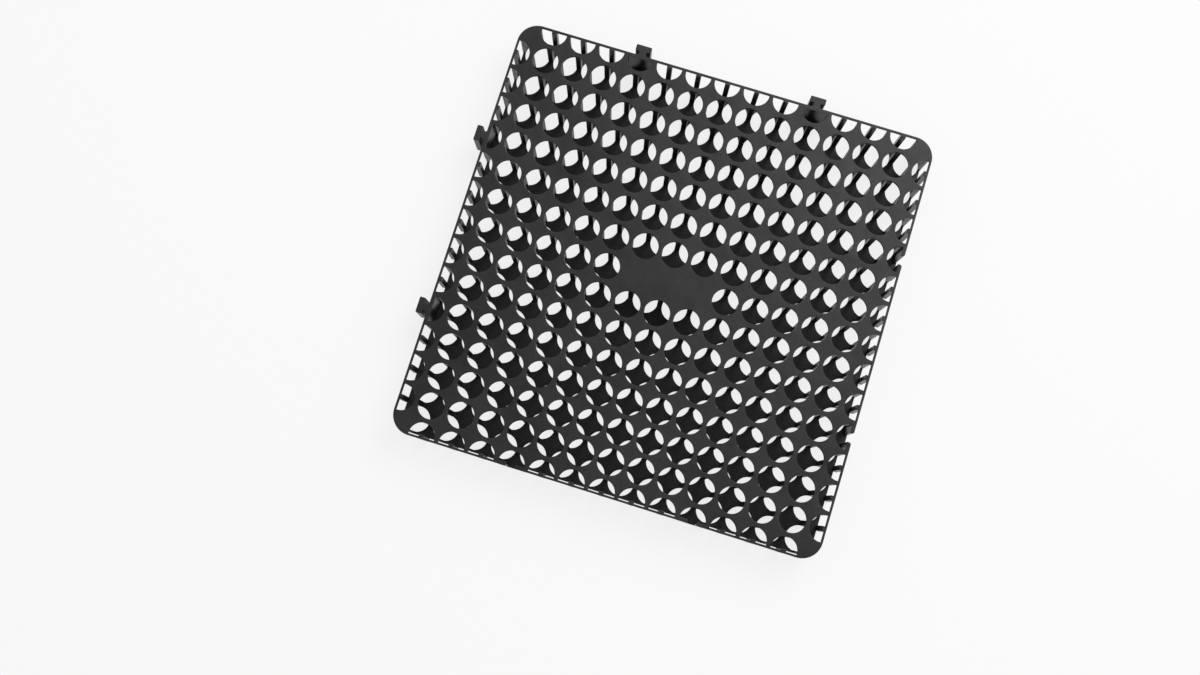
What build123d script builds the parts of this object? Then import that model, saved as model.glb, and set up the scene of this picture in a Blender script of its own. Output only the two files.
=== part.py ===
from build123d import *
import os

# Drainage cell, moulded in one shot. Millimetres, lying flat, +Z up.
# Two perforated sheets, held apart by short posts. The holes of the lower
# sheet sit half a pitch off those of the upper one, so each sheet is formed
# by pins that come straight through the other sheet's holes.

side = 333.0                # square outline without the tabs
height = 30.0
corner_radius = 16.0
cells = 14                  # hole pitches along a side
edge_margin = 2.5           # outline to the line of outermost hole centres
upper_sheet = 1.5
lower_sheet = 1.6
upper_web = 3.3             # bar left between neighbouring upper holes
lower_web = 3.6             # the same in the lower sheet
plate_reach = 1             # upper holes left closed each side of the middle one
lower_setback = 2.6         # lower sheet and posts end this far inside the outline
lower_corner = 11.0

rim_wide = 1.7              # thin bar that closes the half holes at the edge
rim_deep = 1.7
stud_wide = 4.0             # post under the rim, in the middle of a half hole
stud_deep = 3.4

coupling_cell = 3           # tabs and slots, in pitches from the middle
wall_thick = 3.0            # upright wall that carries a tab or a slot
slot_wide = 6.8
slot_lead = 1.6             # rounded mouth of the slot
tongue_deep = 3.6           # lower sheet runs out to the outline under such a wall
neck_wide = 5.4
neck_long = 3.4
neck_fillet = 1.4
head_wide = 12.4
head_deep = 4.8
head_round = 0.8
tab_lift = 0.5              # tab clears the lower sheet of the next cell

pitch = (side - 2 * edge_margin) / cells
upper_hole = (pitch - upper_web) / 2
lower_hole = (pitch - lower_web) / 2
middle = cells // 2
reach = neck_long + head_deep
edge = side / 2

# The tabs stand out on two sides only, so the square sits off the origin
# by half their reach and the whole piece is centred on it.
plan = Plane(origin=(reach / 2, -reach / 2, 0))


def at(i, j):
    return ((i - cells / 2) * pitch, (j - cells / 2) * pitch)


grid = range(cells + 1)
corners = [(0, 0), (0, cells), (cells, 0), (cells, cells)]
plate = [(middle + n, middle) for n in range(-plate_reach, plate_reach + 1)]
upper_centres = [
    at(i, j) for i in grid for j in grid if (i, j) not in corners + plate
]
lower_centres = [at(i + 0.5, j + 0.5) for i in range(cells) for j in range(cells)]
plate_centres = [at(i, j) for i, j in plate]

coupled = (middle - coupling_cell, middle + coupling_cell)
free_edge = [k for k in range(1, cells) if k not in coupled]
stud_x = [(k, s) for k in free_edge for s in (-1, 1)]
off = coupling_cell * pitch

with BuildPart() as drainage_cell:
    # the outer block
    with BuildSketch(plan) as outline:
        RectangleRounded(side, side, corner_radius)
    extrude(amount=height)

    # upper holes, opened from above down to the lower sheet
    with BuildSketch(plan.offset(height)) as upper_pins:
        with Locations(*upper_centres):
            Circle(upper_hole)
    extrude(amount=-(height - lower_sheet), mode=Mode.SUBTRACT)

    # lower holes, opened from below up to the upper sheet. The closed plate
    # in the middle is hollowed from this side as well.
    with BuildSketch(plan) as lower_pins:
        with Locations(*lower_centres):
            Circle(lower_hole)
        with Locations(*plate_centres):
            Circle(upper_hole)
    extrude(amount=height - upper_sheet, mode=Mode.SUBTRACT)

    # the lower sheet and the posts stand back from the outline
    with BuildSketch(plan) as step_back:
        RectangleRounded(side, side, corner_radius)
        RectangleRounded(
            side - 2 * lower_setback,
            side - 2 * lower_setback,
            lower_corner,
            mode=Mode.SUBTRACT,
        )
    extrude(amount=height - upper_sheet, mode=Mode.SUBTRACT)

    # rim bar round the upper sheet
    with BuildSketch(plan.offset(height)) as rim:
        RectangleRounded(side, side, corner_radius)
        RectangleRounded(
            side - 2 * rim_wide,
            side - 2 * rim_wide,
            corner_radius - rim_wide,
            mode=Mode.SUBTRACT,
        )
    extrude(amount=-rim_deep)

    # studs that carry the rim across each half hole
    with BuildSketch(plan) as studs:
        with Locations(*[(at(k, 0)[0], s * (edge - stud_deep / 2)) for k, s in stud_x]):
            Rectangle(stud_wide, stud_deep)
        with Locations(*[(s * (edge - stud_deep / 2), at(0, k)[1]) for k, s in stud_x]):
            Rectangle(stud_deep, stud_wide)
    extrude(amount=height)

    # upright walls that close the coupled half holes
    with BuildSketch(plan) as walls:
        with Locations((-off, edge - wall_thick / 2), (off, edge - wall_thick / 2)):
            Rectangle(2 * upper_hole + 1, wall_thick)
        with Locations((-off, wall_thick / 2 - edge), (off, wall_thick / 2 - edge)):
            Rectangle(2 * upper_hole + 1, wall_thick)
        with Locations((edge - wall_thick / 2, -off), (edge - wall_thick / 2, off)):
            Rectangle(wall_thick, 2 * upper_hole + 1)
        with Locations((wall_thick / 2 - edge, -off), (wall_thick / 2 - edge, off)):
            Rectangle(wall_thick, 2 * upper_hole + 1)
    extrude(amount=height)

    # tongues of the lower sheet under these walls
    with BuildSketch(plan) as tongues:
        for turn in (0, 90, 180, 270):
            for along in (-off, off):
                with Locations(Location((0, 0), turn)):
                    with Locations((along, edge - tongue_deep / 2)):
                        Rectangle(2 * upper_hole + 1, tongue_deep)
    extrude(amount=lower_sheet)

    # slots in the walls at the right and the near side, open at the top.
    # Their mouth is flared to take the fillets of a neighbour's tab.
    with BuildSketch(plan.offset(height)) as slots:
        for turn in (-90, 180):
            for along in (-off, off):
                with Locations(Location((0, 0), turn)):
                    with Locations((along, edge - wall_thick / 2)):
                        Rectangle(slot_wide, wall_thick + 2 * slot_lead)
                    with Locations(
                        (along - slot_wide / 2 - slot_lead / 2, edge - slot_lead / 2),
                        (along + slot_wide / 2 + slot_lead / 2, edge - slot_lead / 2),
                    ):
                        Rectangle(slot_lead, slot_lead)
                    with Locations(
                        (along - slot_wide / 2 - slot_lead, edge - slot_lead),
                        (along + slot_wide / 2 + slot_lead, edge - slot_lead),
                    ):
                        Circle(slot_lead, mode=Mode.SUBTRACT)
    extrude(amount=-(height - lower_sheet), mode=Mode.SUBTRACT)

    # T tabs on the far and the left side, standing clear of the floor
    with BuildSketch(plan.offset(lower_sheet + tab_lift)) as tabs:
        for turn in (0, 90):
            for along in (-off, off):
                with Locations(Location((0, 0), turn)):
                    with Locations((along, edge + neck_long / 2 - wall_thick / 4)):
                        Rectangle(neck_wide, neck_long + wall_thick / 2)
                    with Locations((along, edge + neck_long + head_deep / 2)):
                        RectangleRounded(head_wide, head_deep, head_round)
                    with Locations(
                        (along - neck_wide / 2 - neck_fillet / 2, edge + neck_fillet / 2),
                        (along + neck_wide / 2 + neck_fillet / 2, edge + neck_fillet / 2),
                    ):
                        Rectangle(neck_fillet, neck_fillet)
                    with Locations(
                        (along - neck_wide / 2 - neck_fillet, edge + neck_fillet),
                        (along + neck_wide / 2 + neck_fillet, edge + neck_fillet),
                    ):
                        Circle(neck_fillet, mode=Mode.SUBTRACT)
    extrude(amount=height - lower_sheet - tab_lift)

drainage_cell.part.label = "drainage_cell"

os.makedirs("parts", exist_ok=True)
export_step(drainage_cell.part, "parts/drainage_cell.step")
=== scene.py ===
import math

import bpy
import numpy as np
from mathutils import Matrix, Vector
from mathutils.geometry import delaunay_2d_cdt


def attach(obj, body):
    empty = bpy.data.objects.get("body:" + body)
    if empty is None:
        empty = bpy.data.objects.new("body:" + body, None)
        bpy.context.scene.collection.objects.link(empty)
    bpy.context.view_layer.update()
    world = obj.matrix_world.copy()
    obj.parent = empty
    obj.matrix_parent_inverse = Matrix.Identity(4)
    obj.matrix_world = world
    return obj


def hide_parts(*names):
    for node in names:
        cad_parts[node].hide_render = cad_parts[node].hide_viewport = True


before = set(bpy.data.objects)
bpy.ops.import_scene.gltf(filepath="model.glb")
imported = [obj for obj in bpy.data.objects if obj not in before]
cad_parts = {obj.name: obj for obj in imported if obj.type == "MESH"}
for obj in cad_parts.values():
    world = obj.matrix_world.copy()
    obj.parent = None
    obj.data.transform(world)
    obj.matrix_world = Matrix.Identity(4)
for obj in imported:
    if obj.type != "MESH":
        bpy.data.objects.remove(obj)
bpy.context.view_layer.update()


# The two perforated sheets. The cell is one injection moulding in black recycled polypropylene. The pins of
# one half of the mould leave round holes on the crossings of a lattice, through the upper sheet. Those of
# the other half leave holes between the crossings, through the lower sheet. All sizes are in millimetres.
side = 333.0
height = 30.0
corner_radius = 16.0
upper_sheet = 1.5
lower_sheet = 1.6
cells = 14
margin = 2.5  # from the outline to the outermost crossings
upper_web = 3.3  # the least plastic between two upper holes
lower_web = 3.6
setback = 2.6  # how far the lower sheet stands back from the outline
inner_corner = 11.0
hole_facets = 40

edge = side / 2
centre = cells // 2
pitch = (side - 2 * margin) / cells
upper_radius = (pitch - upper_web) / 2
lower_radius = (pitch - lower_web) / 2


def arc(x, y, radius, start, end, steps):
    """Points along an arc, its two angles in degrees."""
    turns = np.radians(np.linspace(start, end, steps + 1))
    return [(x + radius * math.cos(t), y + radius * math.sin(t)) for t in turns]


def rounded_square(wide, radius, steps):
    """A square round the middle of the cell, its corners rounded in so many steps."""
    reach = wide / 2 - radius
    return (
        arc(reach, reach, radius, 0, 90, steps)
        + arc(-reach, reach, radius, 90, 180, steps)
        + arc(-reach, -reach, radius, 180, 270, steps)
        + arc(reach, -reach, radius, 270, 360, steps)
    )


def crossing(k):
    """The place of lattice line k, counted from the left or the near edge."""
    return (k - cells / 2) * pitch


outline = rounded_square(side, corner_radius, steps=14)
inner_block = rounded_square(side - 2 * setback, inner_corner, steps=12)
solid_corners = {(0, 0), (0, cells), (cells, 0), (cells, cells)}
lattice = [(i, j) for i in range(cells + 1) for j in range(cells + 1) if (i, j) not in solid_corners]
upper_holes = [arc(crossing(i), crossing(j), upper_radius, 0, 360, hole_facets)[:-1] for i, j in lattice]
lower_holes = [
    arc(crossing(i + 0.5), crossing(j + 0.5), lower_radius, 0, 360, hole_facets)[:-1]
    for i in range(cells)
    for j in range(cells)
]


# The bare plate in the middle is part of the upper sheet. Three crossings in a row have no hole in that
# sheet, and are hollow from below.
plate = {(centre + k, centre) for k in (-1, 0, 1)}
plate_hollows = [ring for ring, place in zip(upper_holes, lattice) if place in plate]
open_holes = [ring for ring, place in zip(upper_holes, lattice) if place not in plate]


# The rim and the studs, moulded with the rest. The rim is a thin bar along the outline of the upper sheet,
# which closes the half holes at the edge. A stud stands in the middle of each half hole, the full height of
# the cell, but for the two crossings on each side that have a coupling wall.
rim = 1.7
stud_wide = 4.0
stud_deep = 3.4
coupling_cell = 3


def pad(x, wide, deep):
    """A rectangle that stands against the far edge from inside."""
    left, right, inside = x - wide / 2, x + wide / 2, edge - deep
    return [(left, inside), (right, inside), (right, edge), (left, edge)]


def turned(loop, quarter):
    """A loop drawn at the far edge, turned by quarters to another edge."""
    c, s = ((1, 0), (0, 1), (-1, 0), (0, -1))[quarter]
    return [(x * c - y * s, x * s + y * c) for x, y in loop]


coupled = (centre - coupling_cell, centre + coupling_cell)
inner_rim = rounded_square(side - 2 * rim, corner_radius - rim, steps=14)
studs = [
    turned(pad(crossing(k), stud_wide, stud_deep), quarter)
    for k in range(1, cells)
    if k not in coupled
    for quarter in range(4)
]


# The couplings, moulded on as well. Two T tabs on the far side and two on the left side drop from above
# into slots in the near and right sides of the next cells. Each stands on, or is cut through, a thick wall
# across the half hole, and the lower sheet runs out under that wall as a tongue.
wall = 3.0
wall_lap = 0.5  # how far a wall runs into the web on either side of its half hole
tongue = 3.6
slot = 6.8
slot_lead = 1.6  # the radius of the flare at the mouth of a slot
slot_overcut_in = 0.6
slot_overcut_out = 1.0
neck_wide = 5.4
neck_long = 3.4
neck_fillet = 1.4
neck_root = 0.8  # how far a neck reaches into its wall
head_wide = 12.4
head_deep = 4.8
head_round = 0.8
tab_lift = 0.5  # how far a tab ends above the lower sheet


def mirrored(right, x):
    """The right half of an outline, closed with its mirror image in the line at x."""
    return right + [(2 * x - px, py) for px, py in reversed(right)]


def tab(x):
    """A T tab on the far edge, with fillets where its neck leaves the wall."""
    head = edge + neck_long
    fillet_x = x + neck_wide / 2 + neck_fillet
    round_x = x + head_wide / 2 - head_round
    right = [(fillet_x, edge - neck_root)]
    right += arc(fillet_x, edge + neck_fillet, neck_fillet, 270, 180, steps=5)
    right += [(x + neck_wide / 2, head)]
    right += arc(round_x, head + head_round, head_round, 270, 360, steps=4)
    right += arc(round_x, head + head_deep - head_round, head_round, 0, 90, steps=4)
    return mirrored(right, x)


def slot_mouth(x):
    """The slot in a wall on the far edge, its mouth flared for the fillets of a tab."""
    lead_x = x + slot / 2 + slot_lead
    right = [(x + slot / 2, edge - wall - slot_overcut_in)]
    right += arc(lead_x, edge - slot_lead, slot_lead, 180, 90, steps=6)
    right += [(lead_x, edge + slot_overcut_out)]
    return mirrored(right, x)


wall_wide = 2 * (upper_radius + wall_lap)
walls = [turned(pad(crossing(k), wall_wide, wall), quarter) for k in coupled for quarter in range(4)]
tongues = [turned(pad(crossing(k), wall_wide, tongue), quarter) for k in coupled for quarter in range(4)]
tabs = [turned(tab(crossing(k)), quarter) for k in coupled for quarter in (0, 1)]
slots = [turned(slot_mouth(crossing(k)), quarter) for k in coupled for quarter in (2, 3)]


# The moulding as one mesh. All the outlines are cut against each other once. Every scrap between them is
# then solid or open in each of three layers: the lower sheet, the posts between the holes, and the upper
# sheet. The mould leaves a small rounding, the lip, along all the upper edges.
lip = 0.35
lip_bends = (30, 60, 90)
crease = 48  # edges sharper than this many degrees are shaded as edges
weld = 1e-5
fine_weld = 1e-6


def ring_lines(first, count):
    """The lines that close a run of points to a ring."""
    return [(first + k, first + (k + 1) % count) for k in range(count)]


def cut(points, lines, tolerance):
    """The plane cut into triangles along the lines, with the points that each corner came from."""
    plan, _, triangles, origins, _, _ = delaunay_2d_cdt(points, lines, [], 0, tolerance)
    plan = np.array([tuple(p) for p in plan])
    triangles = np.array([tuple(t) for t in triangles])
    a, b, c = (plan[triangles[:, k]] for k in range(3))
    clockwise = (b - a)[:, 0] * (c - a)[:, 1] < (b - a)[:, 1] * (c - a)[:, 0]
    triangles[clockwise] = triangles[clockwise][:, ::-1]
    return plan, triangles, origins


def within(rings, places):
    """Which of the places lie in any of the rings."""
    found = np.zeros(len(places), bool)
    for ring in rings:
        ring = np.array(ring)
        near = np.all((places > ring.min(0)) & (places < ring.max(0)), axis=1)
        x, y = places[near].T
        hit = np.zeros(len(x), bool)
        for (x0, y0), (x1, y1) in zip(ring, np.roll(ring, -1, axis=0)):
            if y0 != y1:
                hit ^= ((y0 > y) != (y1 > y)) & (x < (x1 - x0) * (y - y0) / (y1 - y0) + x0)
        found[near] |= hit
    return found


points, lines = [], []
body = [outline, inner_rim, inner_block] + upper_holes + lower_holes
for loop in body + walls + tongues + studs + tabs + slots:
    lines += ring_lines(len(points), len(loop))
    points += [Vector(p) for p in loop]
plan, scraps, _ = cut(points, lines, weld)
middles = plan[scraps].mean(axis=1)

square = within([outline], middles)
core = within([inner_block], middles)
upper_open = within(open_holes, middles)
lower_open = within(lower_holes + plate_hollows, middles)
upright = within(studs + walls, middles)
rim_bar = square & ~within([inner_rim], middles)
slot_open = within(slots, middles)
tab_solid = within(tabs, middles)
low = (core & ~lower_open) | upright | within(tongues, middles)
mid = ((core & ~lower_open & ~upper_open) | upright) & ~slot_open | tab_solid
top = ((square & ~upper_open) | upright | rim_bar) & ~slot_open | tab_solid

tab_foot = lower_sheet + tab_lift
roof = height - upper_sheet
brow = height - lip
vertices, faces, numbers = [], [], {}


def vertex(k, z):
    """The number of the vertex over corner k of the plan at height z, made when first asked for."""
    if (k, z) not in numbers:
        numbers[k, z] = len(vertices)
        vertices.append((plan[k][0], plan[k][1], z))
    return numbers[k, z]


def lay(chosen, z, upward):
    """Lays the chosen scraps flat at height z, to be seen from above or from below."""
    for scrap in scraps[chosen]:
        face = [vertex(k, z) for k in scrap]
        faces.append(face if upward else face[::-1])


lay(low, 0.0, upward=False)
lay(low & ~mid, lower_sheet, upward=True)
lay(mid & ~low, tab_foot, upward=False)
lay(top & ~mid, roof, upward=False)

# An upright wall stands on every side of a scrap that is solid where its neighbour is open. It takes in
# every vertex that another face has on its two upright edges, so that the mesh is closed.
bands = [
    (low, 0.0, lower_sheet),
    (mid & low, lower_sheet, tab_foot),
    (mid, tab_foot, roof),
    (top, roof, brow),
]
levels = {}
for k, z in numbers:
    levels.setdefault(k, set()).add(z)
sides = {}
for n, (a, b, c) in enumerate(scraps):
    for p, q in ((a, b), (b, c), (c, a)):
        sides[p, q] = n
upper_edge, upright_walls = {}, []
for (p, q), n in sides.items():
    neighbour = sides.get((q, p))
    spans = []
    for solid, bottom, end in bands:
        if solid[n] and (neighbour is None or not solid[neighbour]):
            if spans and spans[-1][1] == bottom:
                spans[-1][1] = end
            else:
                spans.append([bottom, end])
    if spans and spans[-1][1] == brow:
        upper_edge[p] = q
    for span in spans:
        upright_walls.append((p, q, *span))
        levels.setdefault(p, set()).update(span)
        levels.setdefault(q, set()).update(span)
for p, q, bottom, end in upright_walls:
    rising = [vertex(q, z) for z in sorted(levels[q]) if bottom <= z <= end]
    falling = [vertex(p, z) for z in sorted(levels[p], reverse=True) if bottom <= z <= end]
    faces.append(rising + falling)

# The lip bends in from each ring of the upper edge, and the upper face fills what it leaves.
rings = []
while upper_edge:
    start, here = next(iter(upper_edge.items()))
    del upper_edge[start]
    ring = [start]
    while here != start:
        ring.append(here)
        here = upper_edge.pop(here)
    rings.append(ring)
sharpest_turn = -0.5
least_length = 1e-12
face_points, face_lines, face_vertices, around, holes = [], [], [], [], []
for ring in rings:
    below = plan[ring]
    ahead = np.roll(below, -1, axis=0) - below
    ahead /= np.linalg.norm(ahead, axis=1)[:, None] + least_length
    inward = np.c_[-ahead[:, 1], ahead[:, 0]]
    before = np.roll(inward, 1, axis=0)
    mitre = (inward + before) / (1 + np.maximum((inward * before).sum(1), sharpest_turn))[:, None]
    rows = [[vertex(k, brow) for k in ring]]
    for bend in lip_bends:
        drawn_in = below + mitre * lip * (1 - math.cos(math.radians(bend)))
        z = brow + lip * math.sin(math.radians(bend))
        rows.append(list(range(len(vertices), len(vertices) + len(ring))))
        vertices += [(x, y, z) for x, y in drawn_in]
    for under, over in zip(rows, rows[1:]):
        faces += [(under[k], under[n], over[n], over[k]) for k, n in ring_lines(0, len(ring))]
    x, y = drawn_in.T
    area = (x * np.roll(y, -1) - y * np.roll(x, -1)).sum()
    (around if area > 0 else holes).append(drawn_in)
    face_lines += ring_lines(len(face_points), len(ring))
    face_points += [Vector(p) for p in drawn_in]
    face_vertices += rows[-1]
face_plan, upper_face, origins = cut(face_points, face_lines, fine_weld)
middles = face_plan[upper_face].mean(axis=1)
upper_face = upper_face[within(around, middles) & ~within(holes, middles)]
face_numbers = []
for place, origin in zip(face_plan, origins):
    if origin:
        face_numbers.append(face_vertices[origin[0]])
    else:
        face_numbers.append(len(vertices))
        vertices.append((place[0], place[1], height))
faces += [[face_numbers[k] for k in triangle] for triangle in upper_face]

# The tabs stick out on two sides only, so the middle of the square is set off from the middle of the box.
reach = neck_long + head_deep
offset = Vector((reach / 2, -reach / 2, 0.0))
moulding = bpy.data.meshes.new("drainage_cell_moulding")
moulding.from_pydata([(Vector(p) + offset) / 1000 for p in vertices], [], faces)
moulding.validate()
moulding.shade_smooth()
moulding.set_sharp_from_angle(angle=math.radians(crease))
cell = bpy.data.objects.new("cell_moulding", moulding)
bpy.context.collection.objects.link(cell)
even_shading = cell.modifiers.new("even_shading", "WEIGHTED_NORMAL")
even_shading.keep_sharp = True


# The plastic is black recycled polypropylene, moulded. The flat faces come from a spark eroded tool: satin,
# with a fine grain and the slow clouds and dark specks of mixed regrind. The pins of the mould are
# polished, so the upright walls are slicker, with faint drag lines. The lip is lightened to grey in places,
# a painted highlight.
dark_regrind = "#121415"
pale_regrind = "#262728"
speck_shade = "#787878"
no_speck = "#FFFFFF"
# The grey of the painted highlight on the lip.
painted_highlight_grey = "#4A4B4C"
cloud_wide = 45.0
speck_wide = 1.9
wave_long = 17.0
wave_deep = 0.5
# The real grain and drag lines are about a tenth of a millimetre wide, and are drawn wider to show at all.
grain_wide = 0.55
drag_wide = 1.1
drag_stretch = 25
grain_deep = 0.03
speck_share = 0.8
polypropylene_ior = 1.49
polished_roughness = 0.28
satin_least = 0.4
satin_most = 0.56
# Where the painted highlight on the lip starts under the upper face, and where it is full.
highlight_starts = 0.5
highlight_full = 0.1


def linear(hexed):
    """An sRGB hex colour as linear values."""
    parts = [int(hexed[k : k + 2], 16) / 255 for k in (1, 3, 5)]
    return [c / 12.92 if c <= 0.04045 else ((c + 0.055) / 1.055) ** 2.4 for c in parts] + [1.0]


def add(tree, kind, settings=None, links=None):
    """Adds a shader node, sets its values and joins its inputs."""
    node = tree.nodes.new(kind)
    for name, value in (settings or {}).items():
        if isinstance(name, int) or name in node.inputs:
            node.inputs[name].default_value = value
        else:
            setattr(node, name, value)
    for name, source in (links or {}).items():
        tree.links.new(source, node.inputs[name])
    return node


plastic = bpy.data.materials.new("recycled_polypropylene_moulded")
plastic.use_nodes = True
tree = plastic.node_tree
shader = tree.nodes["Principled BSDF"]
shader.inputs["IOR"].default_value = polypropylene_ior

# How far a spot faces straight up or down, from 0 on the upright walls to 1 on the flat faces.
position = add(tree, "ShaderNodeTexCoord").outputs["Object"]
facing = add(tree, "ShaderNodeNewGeometry").outputs["True Normal"]
facing_up = add(tree, "ShaderNodeSeparateXYZ", links={"Vector": facing}).outputs["Z"]
flatness = add(tree, "ShaderNodeMath", {"operation": "ABSOLUTE"}, {0: facing_up}).outputs[0]
flat_face = add(
    tree,
    "ShaderNodeMapRange",
    {"From Min": 0.25, "From Max": 0.9},
    {"Value": flatness},
).outputs["Result"]

# The regrind: clouds from dark to pale, with specks laid over them.
clouds = add(
    tree,
    "ShaderNodeTexNoise",
    {"Scale": 1000 / cloud_wide, "Detail": 4.0, "Roughness": 0.6},
    {"Vector": position},
).outputs["Fac"]
cloud_tone = add(
    tree,
    "ShaderNodeMapRange",
    {"From Min": 0.35, "From Max": 0.65},
    {"Value": clouds},
).outputs["Result"]
regrind = add(
    tree,
    "ShaderNodeMix",
    {"data_type": "RGBA", 6: linear(dark_regrind), 7: linear(pale_regrind)},
    {0: cloud_tone},
).outputs[2]
specks = add(
    tree,
    "ShaderNodeTexNoise",
    {"Scale": 1000 / speck_wide, "Detail": 2.0, "Roughness": 0.7},
    {"Vector": position},
).outputs["Fac"]
speck_tone = add(
    tree,
    "ShaderNodeMapRange",
    {"From Min": 0.3, "From Max": 0.75},
    {"Value": specks},
).outputs["Result"]
speck_colour = add(
    tree,
    "ShaderNodeMix",
    {"data_type": "RGBA", 6: linear(speck_shade), 7: linear(no_speck)},
    {0: speck_tone},
).outputs[2]
speckled = add(
    tree,
    "ShaderNodeMix",
    {"data_type": "RGBA", "blend_type": "MULTIPLY", 0: speck_share},
    {6: regrind, 7: speck_colour},
).outputs[2]

# The painted highlight on the lip: close under the upper face, tilted away from it, and in patches.
level = add(tree, "ShaderNodeSeparateXYZ", links={"Vector": position}).outputs["Z"]
highlight_level = add(
    tree,
    "ShaderNodeMapRange",
    {"From Min": (height - highlight_starts) / 1000, "From Max": (height - highlight_full) / 1000},
    {"Value": level},
).outputs["Result"]
tilted = add(
    tree,
    "ShaderNodeMapRange",
    {"From Min": 0.995, "From Max": 0.9},
    {"Value": flatness},
).outputs["Result"]
patchy = add(
    tree,
    "ShaderNodeMapRange",
    {"From Min": 0.45, "From Max": 0.6, "To Max": 0.8},
    {"Value": clouds},
).outputs["Result"]
highlight_edge = add(tree, "ShaderNodeMath", {"operation": "MULTIPLY"}, {0: highlight_level, 1: tilted}).outputs[0]
painted_highlight = add(tree, "ShaderNodeMath", {"operation": "MULTIPLY"}, {0: highlight_edge, 1: patchy}).outputs[0]
# The painted highlight is mixed over the speckled regrind.
colour = add(
    tree,
    "ShaderNodeMix",
    {"data_type": "RGBA", 7: linear(painted_highlight_grey)},
    {0: painted_highlight, 6: speckled},
).outputs[2]
tree.links.new(colour, shader.inputs["Base Color"])

# The sheen: satin that drifts with the clouds on the flat faces, polished on the walls.
satin = add(
    tree,
    "ShaderNodeMapRange",
    {"From Min": 0.3, "From Max": 0.7, "To Min": satin_least, "To Max": satin_most},
    {"Value": clouds},
).outputs["Result"]
sheen = add(
    tree,
    "ShaderNodeMix",
    {"data_type": "FLOAT", 2: polished_roughness},
    {0: flat_face, 3: satin},
).outputs[0]
tree.links.new(sheen, shader.inputs["Roughness"])

# The relief: a slow wave from shrinkage, and over it the grain or the drag lines.
wave = add(
    tree,
    "ShaderNodeTexNoise",
    {"Scale": 1000 / wave_long, "Detail": 1.0},
    {"Vector": position},
).outputs["Fac"]
grain = add(
    tree,
    "ShaderNodeTexNoise",
    {"Scale": 1000 / grain_wide, "Detail": 2.0},
    {"Vector": position},
).outputs["Fac"]
drawn = add(
    tree,
    "ShaderNodeMapping",
    {"Scale": (1.0, 1.0, 1 / drag_stretch)},
    {"Vector": position},
).outputs["Vector"]
drag = add(
    tree,
    "ShaderNodeTexNoise",
    {"Scale": 1000 / drag_wide, "Detail": 1.0},
    {"Vector": drawn},
).outputs["Fac"]
fine = add(tree, "ShaderNodeMix", {"data_type": "FLOAT"}, {0: flat_face, 2: drag, 3: grain}).outputs[0]
wavy = add(
    tree,
    "ShaderNodeBump",
    {"Strength": 1.0, "Distance": wave_deep / 1000},
    {"Height": wave},
).outputs["Normal"]
relief = add(
    tree,
    "ShaderNodeBump",
    {"Strength": 1.0, "Distance": grain_deep / 1000},
    {"Height": fine, "Normal": wavy},
).outputs["Normal"]
tree.links.new(relief, shader.inputs["Normal"])
cell.data.materials.append(plastic)
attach(cell, "root")
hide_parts("drainage_cell")


# The floor is a sheet of plain white paper that runs past the picture on all sides. It only shows the cell
# and is no part of it. To the camera, and less so in reflections, it also glows, which keeps it white and
# its shadow pale.
floor_reach = 6.0
paper_white = "#F2F2F2"
paper_roughness = 0.9
glow_to_camera = 0.8
glow_in_gloss = 0.3

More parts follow.
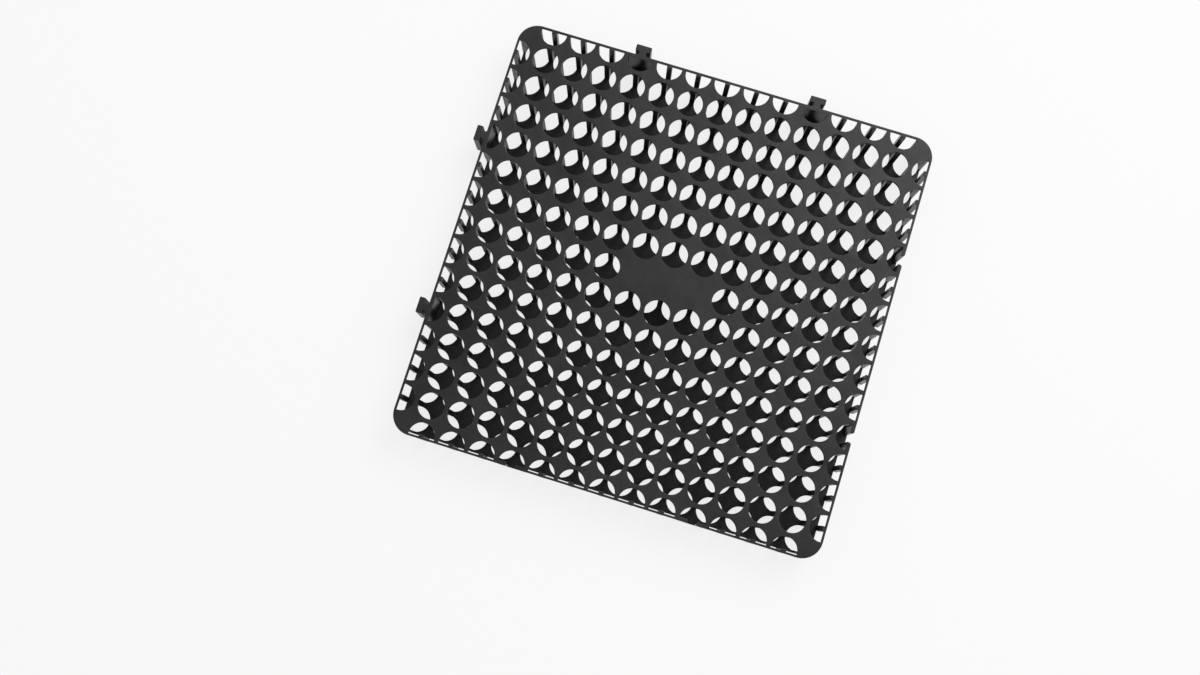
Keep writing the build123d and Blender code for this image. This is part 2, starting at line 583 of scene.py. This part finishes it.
floor_mesh = bpy.data.meshes.new("floor")
floor_corners = [(x * floor_reach, y * floor_reach, 0) for x, y in ((-1, -1), (1, -1), (1, 1), (-1, 1))]
floor_mesh.from_pydata(floor_corners, [], [(0, 1, 2, 3)])
floor = bpy.data.objects.new("floor", floor_mesh)
bpy.context.collection.objects.link(floor)
paper = bpy.data.materials.new("white_paper")
paper.use_nodes = True
tree = paper.node_tree
shader = tree.nodes["Principled BSDF"]
shader.inputs["Base Color"].default_value = linear(paper_white)
shader.inputs["Roughness"].default_value = paper_roughness
ray = add(tree, "ShaderNodeLightPath").outputs
in_gloss = add(
    tree,
    "ShaderNodeMath",
    {"operation": "MULTIPLY", 1: glow_in_gloss},
    {0: ray["Is Glossy Ray"]},
).outputs[0]
glow_share = add(
    tree,
    "ShaderNodeMath",
    {"operation": "MULTIPLY_ADD", 1: glow_to_camera},
    {0: ray["Is Camera Ray"], 2: in_gloss},
).outputs[0]
glow = add(tree, "ShaderNodeEmission", {"Color": linear("#FFFFFF"), "Strength": 1.0}).outputs[0]
surface = add(tree, "ShaderNodeMixShader", links={0: glow_share, 1: shader.outputs[0], 2: glow}).outputs[0]
tree.links.new(surface, tree.nodes["Material Output"].inputs["Surface"])
floor.data.materials.append(paper)


# The light is soft daylight from all round, and a large soft box beyond the far right corner, which
# brightens the upper face towards that corner. To the camera the daylight is full white.
daylight = 0.52
soft_box_place = Vector((0.9, 1.5, 1.9))

soft_light = bpy.data.lights.new("soft_box", "AREA")
soft_light.shape = "SQUARE"
soft_light.size = 1.6
soft_light.energy = 38.0
soft_box = bpy.data.objects.new("soft_box", soft_light)
soft_box.location = soft_box_place
soft_box.rotation_euler = (-soft_box_place).to_track_quat("-Z", "Y").to_euler()
bpy.context.collection.objects.link(soft_box)
world = bpy.data.worlds.new("studio")
world.use_nodes = True
tree = world.node_tree
sky = tree.nodes["Background"]
sky.inputs["Color"].default_value = linear("#FFFFFF")
ray = add(tree, "ShaderNodeLightPath").outputs
sky_strength = add(
    tree,
    "ShaderNodeMapRange",
    {"To Min": daylight, "To Max": 1.0},
    {"Value": ray["Is Camera Ray"]},
).outputs["Result"]
tree.links.new(sky_strength, sky.inputs["Strength"])
bpy.context.scene.world = world
bpy.context.scene.view_settings.view_transform = "Standard"


# The camera hangs just under a metre above the cell, a little towards the near side, and has a normal lens.
# Its place and its tilt come from the pattern of holes, as the perspective draws it.
camera_place = (0.01492, -0.17493, 0.95902)
camera_tilt = (7.6925, 0.5647, 17.3618)

camera_data = bpy.data.cameras.new("camera")
camera_data.sensor_width = 36.0
camera_data.lens = 37.38
camera_data.clip_start = 0.05
camera_data.clip_end = 30.0
camera = bpy.data.objects.new("camera", camera_data)
camera.location = camera_place
camera.rotation_euler = [math.radians(a) for a in camera_tilt]
bpy.context.collection.objects.link(camera)
bpy.context.scene.camera = camera
